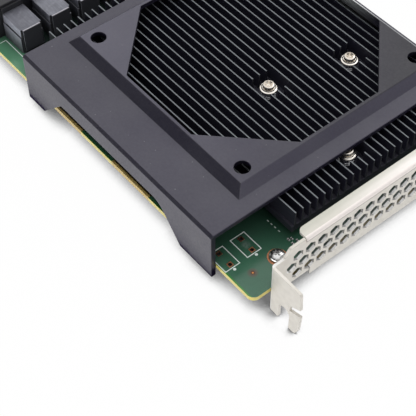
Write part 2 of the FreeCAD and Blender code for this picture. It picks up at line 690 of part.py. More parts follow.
def port_shell(y):
    """Folded metal shell of one connector: slotted sides with a skirt, and a top that bends down in front."""
    half = SHELL_WIDTH / 2
    inner = half - SHELL_T
    under_z = SHELL_TOP_Z - SHELL_T
    rear_x = PORT_REAR_X + PORT_FACE_T
    side_end_x = PORT_FRONT_X - SHELL_RELIEF
    profile = sharp([(y - half, 0), (y - half, SHELL_TOP_Z), (y + half, SHELL_TOP_Z), (y + half, 0),
                     (y + inner, 0), (y + inner, under_z), (y - inner, under_z), (y - inner, 0)])
    channel = along_x(profile, rear_x, side_end_x)
    skirts = [along_x(rectangle(v, v + SHELL_SKIRT, 0, SHELL_SLOT_Z[0]), rear_x, side_end_x)
              for v in (y - half - SHELL_SKIRT, y + half)]
    fold = [(side_end_x - 1, SHELL_TOP_Z, 0), (PORT_FRONT_X, SHELL_TOP_Z, SHELL_FOLD_R),
            (PORT_FRONT_X, SHELL_FOLD_LOW_Z, 0), (PORT_FRONT_X - SHELL_T, SHELL_FOLD_LOW_Z, 0),
            (PORT_FRONT_X - SHELL_T, under_z, SHELL_FOLD_R - SHELL_T), (side_end_x - 1, under_z, 0)]
    flap = along_y(fold, y - half + SHELL_RELIEF, y + half - SHELL_RELIEF)
    slot = along_x(rectangle(y - half, y + half, *SHELL_SLOT_Z), PORT_REAR_X + SHELL_SLOT_END, side_end_x)
    return joined([channel, flap] + skirts).cut(slot)


def port_housing(y):
    """Black insulator with two card slots, and a flange that closes the frame's latch notch from inside."""
    gap = 0.05
    half = SHELL_WIDTH / 2 - SHELL_T - gap
    core = rectangle(y - half, y + half, 0, SHELL_TOP_Z - SHELL_T - gap)
    body = along_x(core, PORT_REAR_X, PORT_FRONT_X - SHELL_T - gap)
    flange = rectangle(y - SHELL_WIDTH / 2, y + SHELL_WIDTH / 2, 0, PORT_FACE_TOP_Z)
    face = along_x(flange, PORT_REAR_X, PORT_REAR_X + PORT_FACE_T)
    slots = [rectangle(y - SLOT_WIDTH / 2, y + SLOT_WIDTH / 2, z, z + SLOT_H) for z in SLOT_ZS]
    return joined([body, face]).cut([along_x(s, PORT_REAR_X, PORT_REAR_X + SLOT_DEPTH) for s in slots])


def port_contacts(y):
    """One row of contacts on the floor of each card slot."""
    blades = []
    for z in SLOT_ZS:
        for i in range(PORT_CONTACTS):
            centre = y + (i - (PORT_CONTACTS - 1) / 2) * PORT_CONTACT_PITCH
            section = centred(centre, z + PORT_CONTACT_T / 2, PORT_CONTACT_WIDTH, PORT_CONTACT_T)
            blades.append(along_x(section, PORT_REAR_X + 0.4, PORT_REAR_X + SLOT_DEPTH))
    return blades


def chips(spots, width, depth, height, under=False):
    """Equal rectangular packages that stand on the board, or hang under it."""
    z0, z1 = (-BOARD_T - height, -BOARD_T) if under else (0, height)
    return [slab(centred(x, y, width, depth), z0, z1) for x, y in spots]


def grid(x0, y0, step_x, step_y, count_x, count_y):
    return [(x0 + i * step_x, y0 + j * step_y) for i in range(count_x) for j in range(count_y)]


def leaded_chip(x, y):
    """Eight-lead memory package with its leads."""
    body = slab(centred(x, y, 5.2, 5.2), 0.1, 1.8)
    leads = []
    for s in (-1, 1):
        for k in range(4):
            leads.append(slab(centred(x + s * 3.1, y + (k - 1.5) * 1.27, 1.8, 0.42), 0, 0.35))
    return joined([body] + leads)


def supply_parts():
    """Parts under the heat sink and on the solder side, by node name."""
    return {
        "power_inductors": chips(grid(-70, 26, 9, 9, 1, 4), 6.6, 6.6, 3.0),
        "power_stages": chips(grid(-78, 26, 9, 9, 1, 4), 5.0, 6.0, 0.9),
        "bulk_capacitors": chips(grid(-62, 26, 9, 9, 1, 4), 4.3, 7.3, 1.9),
        "clock_oscillator": chips([(-60, 66)], 3.2, 2.5, 0.9),
        "small_capacitors": chips(grid(-51, 55.6, 33, 4.4, 2, 6) + grid(-92, 40, 4, 5, 2, 6), 1.6, 0.8, 0.8),
        "small_resistors": chips(grid(-84, 66, 4, 3, 3, 6), 1.0, 0.5, 0.35),
        "solder_side_capacitors": chips(grid(CHIP_X - 6, CHIP_Y - 6, 4, 4, 4, 4), 1.6, 0.8, 0.8, under=True),
        "status_leds": chips(grid(-2.4, 24, 0, 3, 1, 4), 0.8, 1.6, 0.6),
    }


def main():
    os.makedirs("parts", exist_ok=True)
    save("circuit_board", board())
    save("edge_contacts", *edge_contacts())
    save("edge_strips", *edge_strips())
    save("plated_pads", *plated_pads())
    save("bracket", bracket())
    save("bracket_screws", *bracket_screws())
    save("heat_sink", heat_sink())
    save("heat_sink_screws", *spring_screws())
    save("heat_sink_springs", *springs())
    package, lid, pad = controller()
    save("controller_package", package)
    save("controller_lid", lid)
    save("thermal_pad", pad)
    plate, film = backplate()
    save("backplate", plate)
    save("backplate_insulator", film)
    save("press_nuts", *press_nuts())
    save("shroud", shroud())
    save("shroud_screws", *shroud_screws())
    save("port_frame", port_frame())
    for i in range(PORT_COUNT):
        save(f"connector_shell_{i + 1}", port_shell(port_y(i)))
        save(f"connector_housing_{i + 1}", port_housing(port_y(i)))
        save(f"connector_contacts_{i + 1}", *port_contacts(port_y(i)))
    save("flash_chip", leaded_chip(-88, 84))
    for name, solids in supply_parts().items():
        save(name, *solids)


main()
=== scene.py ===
"""Looks of the host bus adapter: finishes, fine fasteners, board marks, light and camera."""
import json
import math

import bmesh
import bpy
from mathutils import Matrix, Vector

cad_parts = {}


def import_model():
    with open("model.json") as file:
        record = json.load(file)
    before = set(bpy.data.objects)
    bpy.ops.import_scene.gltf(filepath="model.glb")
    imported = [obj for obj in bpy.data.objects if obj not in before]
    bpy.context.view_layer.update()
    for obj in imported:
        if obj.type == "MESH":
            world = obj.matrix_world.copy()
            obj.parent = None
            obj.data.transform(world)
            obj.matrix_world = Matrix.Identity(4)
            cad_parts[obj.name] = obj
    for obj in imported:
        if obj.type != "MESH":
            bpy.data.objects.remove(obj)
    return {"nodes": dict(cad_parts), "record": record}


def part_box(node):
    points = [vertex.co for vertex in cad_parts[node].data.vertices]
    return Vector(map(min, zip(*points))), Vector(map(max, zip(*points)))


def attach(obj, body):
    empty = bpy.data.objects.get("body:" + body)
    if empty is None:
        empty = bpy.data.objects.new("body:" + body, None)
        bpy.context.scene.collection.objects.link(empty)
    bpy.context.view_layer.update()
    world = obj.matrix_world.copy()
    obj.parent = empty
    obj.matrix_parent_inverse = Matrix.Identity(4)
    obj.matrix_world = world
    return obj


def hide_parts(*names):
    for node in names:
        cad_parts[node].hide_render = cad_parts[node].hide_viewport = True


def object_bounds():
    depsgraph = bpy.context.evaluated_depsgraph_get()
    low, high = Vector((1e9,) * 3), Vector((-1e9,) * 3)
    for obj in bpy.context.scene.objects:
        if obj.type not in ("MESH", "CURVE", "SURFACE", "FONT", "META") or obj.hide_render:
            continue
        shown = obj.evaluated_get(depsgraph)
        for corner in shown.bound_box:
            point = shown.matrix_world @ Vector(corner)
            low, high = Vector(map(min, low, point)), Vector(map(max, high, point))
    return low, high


MM = 0.001
WELD = 1e-7
ORIGIN = Vector((-55.7, 110.9, -0.785))
FIN_TOP_Z = 11.7
SEAT_Z = 17.02
FACE_OUT_X = 1.45
LIP_TOP_Z = 14.6
LIP_BEND_R = 1.3
LIP_SPAN_Y = (18.3, 112.0)
VENT_SPAN_Y = (12.0, 112.0)
BOARD_T = 1.57
TWO_PIN_PAD = 1.7
PAD_TOLERANCE = 0.01
TEST_PAD = (-7.28, 6.02)
RESIDUE = (-16.2, 11.0)
ROUNDING_SAMPLES = 6
ROUNDED_BELOW = (0.75, 0.985)
WORN_RANGE = (0.25, 0.6)

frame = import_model()
cad_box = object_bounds()


def at(x, y, z):
    """A place in board millimetres, as the frame's metres."""
    return (Vector((x, y, z)) - ORIGIN) * MM


class Tree:
    """Shader nodes of one material, or of the surroundings."""

    def __init__(self, owner):
        owner.use_nodes = True
        self.nodes = owner.node_tree.nodes
        self.links = owner.node_tree.links

    def feed(self, socket, value):
        """Links an output to a socket, or sets the socket's own value."""
        if isinstance(value, bpy.types.NodeSocket):
            self.links.new(value, socket)
        elif isinstance(value, tuple) and len(value) == 3 and socket.type == "RGBA":
            socket.default_value = (*value, 1)
        else:
            socket.default_value = value

    def add(self, kind, output=0, settings=None, **inputs):
        """One output of a new node."""
        node = self.nodes.new(kind)
        for key, value in (settings or {}).items():
            setattr(node, key, value)
        for key, value in inputs.items():
            self.feed(node.inputs[key.replace("_", " ")], value)
        return node.outputs[output]

    def math(self, operation, a, b=0.0):
        """A number from one or two others."""
        node = self.nodes.new("ShaderNodeMath")
        node.operation = operation
        self.feed(node.inputs[0], a)
        self.feed(node.inputs[1], b)
        return node.outputs[0]

    def vector(self, operation, a, b):
        """A number from two vectors."""
        node = self.nodes.new("ShaderNodeVectorMath")
        node.operation = operation
        self.feed(node.inputs[0], a)
        self.feed(node.inputs[1], b)
        return node.outputs["Value"]

    def chain(self, operation, first, *others):
        """One operation over several numbers in turn."""
        for other in others:
            first = self.math(operation, first, other)
        return first

    def times(self, *values):
        return self.chain("MULTIPLY", *values)

    def plus(self, *values):
        return self.chain("ADD", *values)

    def most(self, *values):
        return self.chain("MAXIMUM", *values)

    def rest(self, share):
        """What a share leaves of one."""
        return self.math("SUBTRACT", 1.0, share)

    def span(self, value, low, high, start=0.3, stop=0.7, settings=None):
        """A value brought from the range start to stop into low to high, and held there."""
        limits = {"From_Min": start, "From_Max": stop, "To_Min": low, "To_Max": high}
        return self.add("ShaderNodeMapRange", settings=settings, Value=value, **limits)

    def open_air(self, reach, samples=8):
        """How open a surface lies, judged over a reach in metres."""
        settings = {"samples": samples}
        return self.add("ShaderNodeAmbientOcclusion", output="AO", settings=settings, Distance=reach)


class Finish(Tree):
    """One material: a shader, and a colour that is painted over in turn."""

    def __init__(self, name, metallic=0.0, **sockets):
        self.material = bpy.data.materials.new(name)
        super().__init__(self.material)
        self.shader = self.nodes["Principled BSDF"]
        self.shader.inputs["Metallic"].default_value = metallic
        for socket, value in sockets.items():
            self.shader.inputs[socket.replace("_", " ")].default_value = value
        self.place = self.nodes.new("ShaderNodeTexCoord").outputs["Object"]
        self.colour = None

    def stretch(self, x, y, z):
        """Object coordinates scaled along each axis."""
        return self.add("ShaderNodeMapping", Vector=self.place, Scale=(x, y, z))

    def noise(self, size, detail=3.0, place=None):
        """Soft noise with features of a size in millimetres."""
        scale = 1 / (size * MM)
        return self.add("ShaderNodeTexNoise", Vector=place or self.place, Scale=scale, Detail=detail)

    def vary(self, low, high, size, detail=3.0):
        """A value that wanders between two others over a size in millimetres."""
        return self.span(self.noise(size, detail), low, high)

    def blend(self, factor, a, b):
        """Colour between a and b."""
        node = self.nodes.new("ShaderNodeMix")
        node.data_type = "RGBA"
        self.feed(node.inputs[0], factor)
        self.feed(node.inputs[6], a)
        self.feed(node.inputs[7], b)
        return node.outputs[2]

    def mottle(self, dark, light, size, detail=5):
        """Starts the colour as soft patches of two tones."""
        self.colour = self.blend(self.vary(0, 1, size, detail), dark, light)

    def paint(self, mask, tone, share=None):
        """Lays a tone over the colour where a mask says, or over a share of that."""
        if share is not None:
            mask = self.times(mask, share)
        self.colour = self.blend(mask, self.colour, tone)

    def axis(self, name):
        """One coordinate of the place, in metres."""
        return self.add("ShaderNodeSeparateXYZ", output=name, Vector=self.place)

    def along(self, name, places, low=0, high=1):
        """A value that changes between two places on an axis, in board millimetres."""
        shift = getattr(ORIGIN, name.lower())
        start, stop = [(place - shift) * MM for place in places]
        return self.span(self.axis(name), low, high, start, stop)

    def between(self, name, places, soft=0.3):
        """Mask of a stretch along one axis, in board millimetres."""
        low, high = places
        rise = self.along(name, (low - soft, low + soft))
        fall = self.along(name, (high - soft, high + soft), 1, 0)
        return self.times(rise, fall)

    def ring(self, centre, radii, share=1):
        """Mask of a round spot on the board that fades between two radii in millimetres."""
        hub = at(*centre, 0)
        hub.z = 0
        inner, outer = radii
        away = self.vector("DISTANCE", self.stretch(1, 1, 0), hub)
        return self.span(away, share, 0, inner * MM, outer * MM)

    def normal(self):
        """The surface's own direction."""
        return self.nodes.new("ShaderNodeNewGeometry").outputs["True Normal"]

    def facing(self, name):
        """One component of the surface's own direction, without its sign."""
        return self.math("ABSOLUTE", self.add("ShaderNodeSeparateXYZ", output=name, Vector=self.normal()))

    def faces(self, name, start, stop, share=1):
        """Mask of the surfaces that face along an axis."""
        return self.span(self.facing(name), 0, share, start, stop)

    def leans(self, name, rise, fall):
        """Mask of the surfaces that lean along an axis, and neither lie nor stand."""
        lean = self.facing(name)
        return self.times(self.span(lean, 0, 1, *rise), self.span(lean, 1, 0, *fall))

    def towards(self, x, y, z, start=0.9, stop=0.98):
        """Mask of the surfaces that look in one direction."""
        return self.span(self.vector("DOT_PRODUCT", self.normal(), Vector((x, y, z))), 0, 1, start, stop)

    def rounding(self, radius):
        """Shading direction that rounds sharp edges, and a mask of where it does so."""
        soft = self.add("ShaderNodeBevel", settings={"samples": ROUNDING_SAMPLES}, Radius=radius * MM)
        agreement = self.vector("DOT_PRODUCT", soft, self.normal())
        return soft, self.span(agreement, 1, 0, *ROUNDED_BELOW)

    def bump(self, height, depth, normal=None):
        """Relief of a depth in millimetres."""
        node = self.nodes.new("ShaderNodeBump")
        node.inputs["Distance"].default_value = depth * MM
        self.feed(node.inputs["Height"], height)
        if normal is not None:
            self.feed(node.inputs["Normal"], normal)
        return node.outputs[0]

    def dress(self, roughness, normal, metallic=None):
        """Gives the shader its colour and the rest, and hands over the material."""
        sockets = {"Base Color": self.colour, "Roughness": roughness, "Metallic": metallic, "Normal": normal}
        for socket, value in sockets.items():
            if value is not None:
                self.feed(self.shader.inputs[socket], value)
        return self.material


def plain(slot, dark, light, rough, metallic=0.0, patch=6.0, grain=0.25, depth=0.01, wear=None, worn=0.5,
          radius=0.15, **sockets):
    """Finish with mottled colour and roughness, fine grain, and worn or polished edges."""
    f = Finish(slot, metallic, **sockets)
    f.mottle(dark, light, patch)
    soft, edge = f.rounding(radius)
    if wear is not None:
        f.paint(edge, wear, share=f.span(f.noise(patch / 4), 0, worn, *WORN_RANGE))
    relief = f.bump(f.noise(grain, detail=2), depth, normal=soft)
    return f.dress(f.vary(*rough, size=patch / 2, detail=6), relief)


POLISHED = (0.95, 0.94, 0.92)


def metal(slot, dark, light, rough, patch=3.0, grain=0.3, depth=0.006):
    """Plated metal that is polished along its edges."""
    return plain(slot, dark, light, rough, metallic=1.0, patch=patch, grain=grain, depth=depth, wear=POLISHED)


MOULDING = {
    "dark": (0.020, 0.017, 0.039),
    "light": (0.025, 0.021, 0.047),
    "rubbed_highlight": (0.13, 0.13, 0.14),
    "dust": (0.32, 0.32, 0.33),
    "lit_corner": (0.110, 0.104, 0.152),
    "shaded": (0.021, 0.021, 0.022),
    "inside": (0.004, 0.004, 0.007),
    "inside_rear": (0.20, 0.215, 0.215),
    "crest": (0.42, 0.43, 0.44),
    "crest_rear": (0.88, 0.90, 0.90),
    "ends": (0.006, 0.005, 0.010),
    "slope": (0.010, 0.009, 0.018),
}
MATT = {
    "shaded": 0.22,
    "foot": 0.54,
    "hem": 0.2,
    "ends": 0.35,
    "slope": 0.2,
    "flank": 0.1,
    "front": (0.06, 0.2),
}
SEAT_EDGE_Z = (SEAT_Z - 0.4, SEAT_Z - 0.1)
# Painted light towards one corner of the seat, painted shade towards the other: limits of X plus Y, in the
# frame's metres.
SEAT_LIT = (-0.143, -0.063)
SEAT_SHADED = (-0.063, 0.015)
FAR_WALL_Y = (94.7, 94.8)
REAR_RIM_X = (-62, -50)
FOOT_Z = (-4.7, 5.0)
HEM_Z = (-4.7, -1.0)
FLANK_X = (-45, -25)
FRONT_SLOPE_Y = (20, 95)
CREST_LEAN = ((0.12, 0.35), (0.80, 0.88))
SLOPE_LEAN = ((0.2, 0.4), (0.9, 0.97))
DUST_CELLS = 420.0


def shroud_plastic():
    """Dark moulding with a fine spark-eroded grain, a little dust, rubbed edges with a painted highlight, and
    painted light and shade.
    """
    f = Finish("shroud_plastic")
    f.mottle(MOULDING["dark"], MOULDING["light"], size=30, detail=4)
    soft, edge = f.rounding(radius=0.3)
    # Edges lighter from rubbing, with a painted highlight on them.
    f.paint(f.times(edge, f.vary(0.05, 0.3, size=2.5)), MOULDING["rubbed_highlight"])
    specks = f.add("ShaderNodeTexVoronoi", output="Distance", Vector=f.place, Scale=DUST_CELLS)
    sparse = f.span(f.noise(size=9, detail=2), 0, 0.6, 0.44, 0.68)
    f.paint(f.times(f.span(specks, 1, 0, 0.04, 0.09), sparse), MOULDING["dust"])

    seat = f.along("Z", SEAT_EDGE_Z)
    across = f.plus(f.axis("X"), f.axis("Y"))
    # Painted light on one corner of the seat, painted shade on the other.
    lit_corner = f.times(seat, f.span(across, 1, 0, *SEAT_LIT))
    f.paint(lit_corner, MOULDING["lit_corner"], share=0.5)
    shaded = f.times(seat, f.span(across, 0, 1, *SEAT_SHADED))
    f.paint(shaded, MOULDING["shaded"], share=0.8)

    far = f.along("Y", FAR_WALL_Y)
    not_far = f.rest(far)
    rear = f.along("X", REAR_RIM_X, 1, 0)
    # Painted shade on the inner face of the far wall, and painted light on its rear part.
    inside = f.times(far, f.faces("Y", 0.9, 0.96, share=0.8))
    f.paint(inside, MOULDING["inside"])
    f.paint(inside, MOULDING["inside_rear"], rear)
    # Painted highlight along the far crest, brighter at the rear.
    crest = f.times(f.leans("Y", *CREST_LEAN), far)
    f.paint(crest, MOULDING["crest"], share=0.8)
    f.paint(crest, MOULDING["crest_rear"], rear)
    # Painted shade on the end faces.
    ends = f.faces("X", 0.85, 0.97)
    f.paint(ends, MOULDING["ends"], share=0.6)
    # Painted shade on the slopes.
    slope = f.times(f.leans("Y", *SLOPE_LEAN), not_far)
    f.paint(slope, MOULDING["slope"], share=0.8)

    dull = f.times(shaded, MATT["shaded"])
    foot = f.along("Z", FOOT_Z, MATT["foot"], 0)
    hem = f.along("Z", HEM_Z, MATT["hem"], 0)
    flank = f.times(f.faces("Y", 0.97, 0.99, share=MATT["flank"]), not_far, f.along("X", FLANK_X, 1, 0))
    front = f.times(f.leans("X", *SLOPE_LEAN), f.along("Y", FRONT_SLOPE_Y, *MATT["front"]))
    matt = f.plus(f.most(dull, foot), f.times(ends, MATT["ends"]))
    matt = f.plus(f.most(matt, f.times(slope, MATT["slope"])), hem, flank, front)
    sheen = f.plus(f.vary(0.66, 0.78, size=0.7, detail=4), f.vary(-0.05, 0.11, size=18, detail=3))
    f.feed(f.shader.inputs["Specular IOR Level"], f.math("SUBTRACT", sheen, matt))
    rough = f.plus(f.vary(0.31, 0.42, size=0.8, detail=3), dull)
    return f.dress(rough, f.bump(f.noise(size=0.22, detail=2), depth=0.012, normal=soft))


ANODISED = {
    "dark": (0.008, 0.008, 0.014),
    "light": (0.014, 0.014, 0.022),
    "level": (0.040, 0.038, 0.056),
    "inner": (0.028, 0.028, 0.046),
    "edge": (0.16, 0.165, 0.18),
    "tip": (0.200, 0.218, 0.234),
}
FIN_TIP_Z = (FIN_TOP_Z - 0.06, FIN_TOP_Z - 0.02)
INNER_FINS_Y = (22, 30)


def black_anodised():
    """Black extrusion with drawn lines along it, painted light on its level faces and inner fin sides, and
    paler fin tips and cut ends.
    """
    f = Finish("black_anodised", Specular_IOR_Level=0.4)
    soft, edge = f.rounding(radius=0.12)
    drawn = f.noise(size=1, detail=4, place=f.stretch(0.05, 2.5, 2.5))
    f.colour = f.blend(f.span(drawn, 0, 1), ANODISED["dark"], ANODISED["light"])
    # Painted light on the level faces and on the sides of the inner fins.
    f.paint(f.faces("Z", 0.5, 0.9, share=0.6), ANODISED["level"])
    f.paint(f.along("Y", INNER_FINS_Y, 0, 0.75), ANODISED["inner"], f.facing("Y"))
    f.paint(edge, ANODISED["edge"], share=0.25)
    streaks = f.noise(size=3, detail=4, place=f.stretch(0.2, 1, 1))
    worn = f.times(f.along("Z", FIN_TIP_Z), f.span(streaks, 0.75, 1.0))
    ends = f.times(f.faces("X", 0.7, 0.9, share=0.2), edge)
    f.paint(f.most(worn, ends), ANODISED["tip"])
    return f.dress(f.span(drawn, 0.36, 0.52), f.bump(drawn, depth=0.01, normal=soft))


LAMINATE = {
    "dark": (0.72, 0.60, 0.14),
    "light": (0.90, 0.78, 0.24),
    "plated": (0.60, 0.39, 0.10),
    "shaded": (0.14, 0.105, 0.05),
}
PLATED_SPANS_X = ((-98.3, -84.3), (-67.8, -48.8))
SHADED_END_Y = (9, 12)


def laminate(f):
    """Glass-fibre colour of the board's cut edges, golden beside the strips and in painted shade by the
    bracket.
    """
    fibre = f.noise(size=0.5, detail=4, place=f.stretch(0.25, 0.25, 4))
    f.colour = f.blend(f.span(fibre, 0, 1), LAMINATE["dark"], LAMINATE["light"])
    f.paint(f.most(*[f.between("X", places) for places in PLATED_SPANS_X]), LAMINATE["plated"], share=0.8)
    f.paint(f.faces("X", 0.5, 0.8, share=0.85), LAMINATE["shaded"], f.along("Y", SHADED_END_Y))
    return f.colour


BOARD = {
    "dark": (0.050, 0.152, 0.094),
    "light": (0.062, 0.178, 0.110),
    "trace": (0.082, 0.205, 0.138),
    "rim": (0.060, 0.300, 0.045),
    "halo": (0.125, 0.085, 0.065),
    "residue": (0.30, 0.36, 0.33),
    "shade_behind_vents": (0.012, 0.028, 0.021),
    "shade_between_ports": (0.010, 0.018, 0.015),
    "lit_rear_corner": (0.125, 0.330, 0.190),
    "hollow_shade": (0.014, 0.018, 0.019),
}
TRACE_BANDS = 520.0
TRACE_AREAS = 70.0
RIM_Y = (0.05, 0.45)
# Painted shade behind the vents: limits along X and along Y, and a share.
SHADE_BEHIND_VENTS = (((-4, -2), (12, 15), 0.85), ((-9, -6), (25, 29), 0.85), ((-7.4, -6.4), (18.5, 20.5), 0.7))
PORTS_X, PORTS_Y = (-112, -106), (5.5, 7.0)
REAR_CORNER_X, REAR_CORNER_Y = (-122, -114), (4.8, 6.0)


def solder_mask():
    """Green mask over copper planes and traces, with painted light and shade in places, and the pale laminate
    showing on cut edges.
    """
    f = Finish("solder_mask")
    cut_edge = laminate(f)
    f.mottle(BOARD["dark"], BOARD["light"], size=12)
    lines = f.add("ShaderNodeTexWave", Vector=f.place, Scale=TRACE_BANDS, Distortion=0.0,
                  settings={"bands_direction": "X"})
    areas = f.add("ShaderNodeTexVoronoi", output="Color", Vector=f.place, Scale=TRACE_AREAS,
                  settings={"distance": "CHEBYCHEV"})
    traces = f.times(f.span(lines, 0, 1, 0.55, 0.7), f.span(areas, 0, 1, 0.52, 0.56))
    f.paint(traces, BOARD["trace"], share=0.55)
    f.paint(f.along("Y", RIM_Y, 0.85, 0), BOARD["rim"])
    f.paint(f.ring(TEST_PAD, radii=(1.0, 1.9), share=0.8), BOARD["halo"])
    f.paint(f.ring(RESIDUE, radii=(0.6, 1.7), share=0.7), BOARD["residue"], f.vary(0, 1, size=0.9))
    # Painted shade behind the vents.
    behind = [f.times(f.along("X", xs), f.along("Y", ys, 0, share)) for xs, ys, share in SHADE_BEHIND_VENTS]
    f.paint(f.most(*behind), BOARD["shade_behind_vents"])
    # Painted shade on the board between the ports.
    f.paint(f.along("X", PORTS_X, 0.92, 0), BOARD["shade_between_ports"], f.along("Y", PORTS_Y))
    # Painted light on the rear corner of the board.
    f.paint(f.along("X", REAR_CORNER_X, 0.8, 0), BOARD["lit_rear_corner"], f.along("Y", REAR_CORNER_Y, 1, 0))
    # Painted shade in hollows, from how open the surface lies.
    f.paint(f.span(f.open_air(reach=0.025), 0.45, 0, 0.25, 0.62), BOARD["hollow_shade"])
    f.paint(f.span(f.facing("Z"), 1, 0, 0.4, 0.6), cut_edge)
    relief = f.bump(f.plus(traces, f.noise(size=0.6, detail=2)), depth=0.012)
    return f.dress(f.vary(0.14, 0.22, size=1.5, detail=4), relief)


COPPER = {
    "dark": (0.50, 0.19, 0.09),
    "light": (0.70, 0.32, 0.17),
    "mask_edge": (0.12, 0.055, 0.04),
    "probed": (0.80, 0.36, 0.12),
    "dull": (0.16, 0.060, 0.035),
    "edge": (0.70, 0.45, 0.30),
}
SHADED_PADS_X = (-17.6, -16.0)


def pad_copper():
    """Thin dull copper, brightest in the middle of the test pad, with painted shade on the pads at one end.
    """
    f = Finish("tinned_copper", metallic=0.9)
    f.mottle(COPPER["dark"], COPPER["light"], size=0.8)
    f.paint(f.ring(TEST_PAD, radii=(0.62, 0.7)), COPPER["mask_edge"])
    f.paint(f.ring(TEST_PAD, radii=(0.22, 0.36)), COPPER["probed"])
    # Painted shade on the pads at this end.
    f.paint(f.along("X", SHADED_PADS_X, 0.7, 0), COPPER["dull"])
    soft, edge = f.rounding(radius=0.08)
    f.paint(edge, COPPER["edge"], share=0.3)
    relief = f.bump(f.noise(size=0.15, detail=2), depth=0.006, normal=soft)
    return f.dress(f.vary(0.32, 0.5, size=0.4, detail=4), relief)


GOLD = {
    "dark": (0.82, 0.58, 0.17),
    "light": (0.92, 0.70, 0.26),
    "shade_under_shroud": (0.020, 0.014, 0.006),
    "edge": (0.95, 0.85, 0.55),
}
STRIP_SHADE_START_Y, STRIP_SHADE_STOP_Y = (0.4, 0.7), (20, 30)


def gold():
    """Gold plating, with painted shade on the part of the long strips that lies under the shroud."""
    f = Finish("gold", metallic=0.25)
    f.mottle(GOLD["dark"], GOLD["light"], size=3)
    # Painted shade on the strips under the shroud.
    f.paint(f.along("Y", STRIP_SHADE_START_Y, 0, 0.95), GOLD["shade_under_shroud"], f.along("Y", STRIP_SHADE_STOP_Y, 1, 0))
    soft, edge = f.rounding(radius=0.15)
    f.paint(edge, GOLD["edge"], f.span(f.noise(size=0.75), 0, 0.5, *WORN_RANGE))
    relief = f.bump(f.noise(size=0.25, detail=2), depth=0.01, normal=soft)
    return f.dress(f.vary(0.30, 0.45, size=1.5, detail=6), relief)


SHELL = {
    "dark": (0.165, 0.170, 0.202),
    "light": (0.240, 0.246, 0.286),
    "cloud": (0.085, 0.086, 0.102),
    "scuff": (0.30, 0.30, 0.34),
    "front": (0.058, 0.059, 0.070),
    "side_top_light": (0.43, 0.44, 0.52),
    "side_foot_shade": (0.035, 0.037, 0.042),
    "first": (0.055, 0.056, 0.075),
    "hollow_shade": (0.020, 0.020, 0.027),
    "fold": (0.60, 0.58, 0.63),
    "edge": (0.55, 0.55, 0.60),
}
SIDE_TOP_Z = (2.215, 8.215)
SIDE_FOOT_Z = (1.215, 6.715)
FIRST_SHELL_Y = (0.0, 15.5)


def shell_nickel():
    """Dull nickel sheet with rolling lines and scuffs, a painted highlight along its folds, and painted light
    and shade on its faces.
    """
    f = Finish("shell_nickel", metallic=0.35)
    rolled = f.noise(size=1, detail=5, place=f.stretch(0.12, 2.2, 1))
    f.colour = f.blend(f.span(rolled, 0, 1), SHELL["dark"], SHELL["light"])
    f.paint(f.vary(0, 0.45, size=5, detail=3), SHELL["cloud"])
    f.paint(f.span(f.noise(size=1.6, detail=6), 0, 0.45, 0.5, 0.7), SHELL["scuff"])
    # Painted shade on the front faces.
    f.paint(f.faces("X", 0.9, 0.97, share=0.95), SHELL["front"])
    # Painted light high on the sides and painted shade low on them.
    side = f.faces("Y", 0.8, 0.95)
    f.paint(side, SHELL["side_top_light"], f.along("Z", SIDE_TOP_Z, 0, 0.7))
    f.paint(side, SHELL["side_foot_shade"], f.along("Z", SIDE_FOOT_Z, 0.6, 0))
    f.paint(f.faces("Z", 0.8, 0.95, share=0.32), SHELL["first"], f.between("Y", FIRST_SHELL_Y))
    # Painted shade in hollows.
    f.paint(f.span(f.open_air(reach=0.006), 0.65, 0, 0.30, 0.70), SHELL["hollow_shade"])
    # Painted highlight along the folds.
    fold = f.times(f.facing("X"), f.facing("Z"))
    f.paint(f.span(fold, 0, 0.8, 0.12, 0.4), SHELL["fold"])
    soft, edge = f.rounding(radius=0.2)
    f.paint(edge, SHELL["edge"], f.vary(0, 0.5, size=0.4))
    return f.dress(f.vary(0.30, 0.46, size=0.7, detail=5), f.bump(rolled, depth=0.01, normal=soft))


SHEET = {
    "dark": (0.69, 0.658, 0.60),
    "light": (0.77, 0.738, 0.68),
    "lip_near_shade": (0.60, 0.585, 0.52),
    "lip_back_shade": (0.55, 0.55, 0.48),
    "lip_far_light": (0.93, 0.89, 0.86),
    "bend": (0.94, 0.87, 0.84),
    "crease": (0.36, 0.33, 0.32),
    "punched": (0.97, 0.965, 0.955),
    "punched_deep_shade": (0.045, 0.045, 0.042),
    "punched_shaded": (0.10, 0.095, 0.085),
    "edge": (0.86, 0.84, 0.82),
}
SHEET_METALLIC = 0.5
LIP_FLAT_Z = (LIP_TOP_Z - 0.06, LIP_TOP_Z - 0.01)
LIP_BEND_Z = LIP_TOP_Z - LIP_BEND_R
LIP_NEAR_Y, LIP_FAR_Y = (25, 70), (30, 60)
LIP_BACK_X, LIP_FRONT_X = (-1.8, -0.6), (-2.2, -0.8)
LIP_BEND_RISE = 0.3
SHEET_SOFT = 0.1
CREASE_REACH = (0.10, 0.30)
VENT_SIDE = (0, -1, 0)
VENT_FOOT = (0, 0.5, 0.866)
PUNCHED_TOP_Z = (11.8, 12.2)
PUNCHED_OUT_X = (FACE_OUT_X + 0.01, FACE_OUT_X + 0.05)
PUNCHED_DEEP_X = (0.64, 0.74)


